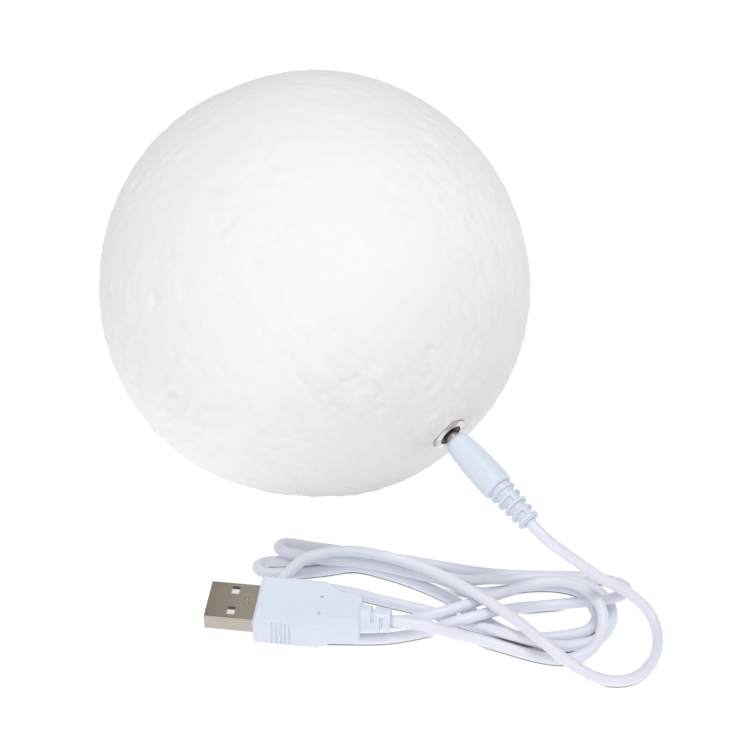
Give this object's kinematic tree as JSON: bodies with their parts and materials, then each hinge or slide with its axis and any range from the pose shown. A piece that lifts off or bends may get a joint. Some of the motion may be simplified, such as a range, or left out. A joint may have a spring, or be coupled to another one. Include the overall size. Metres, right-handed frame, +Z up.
{
  "type": "moon lamp",
  "caption": "Moon-shaped table lamp with a cratered white globe, a touch ring round its charging jack, and a charging cord with a USB plug lying in loops beside it.",
  "frame": {"origin": "on the table, straight below the centre of the globe, at the middle of its resting flat", "axes": "+Z up; -Y towards the side on which the charging cord and the USB plug lie; +X to the right seen from that side"},
  "size_m": [0.1414, 0.1435, 0.109],
  "materials": {
    "globe": "matte 3-D printed white",
    "nickel": "nickel plated",
    "steel": "zinc plated",
    "brass": "plain",
    "black_plastic": "moulded black",
    "inner_plastic": "moulded white",
    "board": "green solder mask",
    "foil": "laminated foil pouch",
    "foam": "foam pad",
    "wire": "insulated wire",
    "light_board": "white solder mask on metal",
    "light": "phosphor-filled",
    "tongue": "moulded white",
    "cord": "satin white sheath",
    "cord_plastic": "satin white moulding"
  },
  "bodies": {
    "lamp": {"moon_globe": "globe", "bottom_cap": "globe", "touch_ring": "nickel", "ring_nut": "steel", "touch_lug": "steel", "jack_housing": "black_plastic", "jack_pin": "brass", "jack_tags": "brass", "module_cup": "inner_plastic", "cup_screws": "steel", "control_board": "board", "board_chips": "black_plastic", "battery_cell": "foil", "battery_pad": "foam", "battery_leads": "wire", "touch_wire": "wire", "light_board": "light_board", "lights": "light", "light_screws": "steel", "light_wires": "wire", "cord_loops": "cord", "usb_shell": "nickel", "usb_tongue": "tongue", "usb_contacts": "brass", "usb_grip": "cord_plastic", "usb_strain_relief": "cord_plastic"},
    "charging_plug": {"plug_grip": "cord_plastic", "plug_barrel": "nickel", "plug_insulator": "black_plastic", "plug_contact": "brass", "plug_strain_relief": "cord_plastic", "cord_lead": "cord"}
  },
  "joints": [
    {"name": "plug_pull", "type": "slide", "parent": "lamp", "child": "charging_plug", "axis": [0.6144, -0.7453, -0.2588], "range_m": [0, 0.01]}
  ]
}
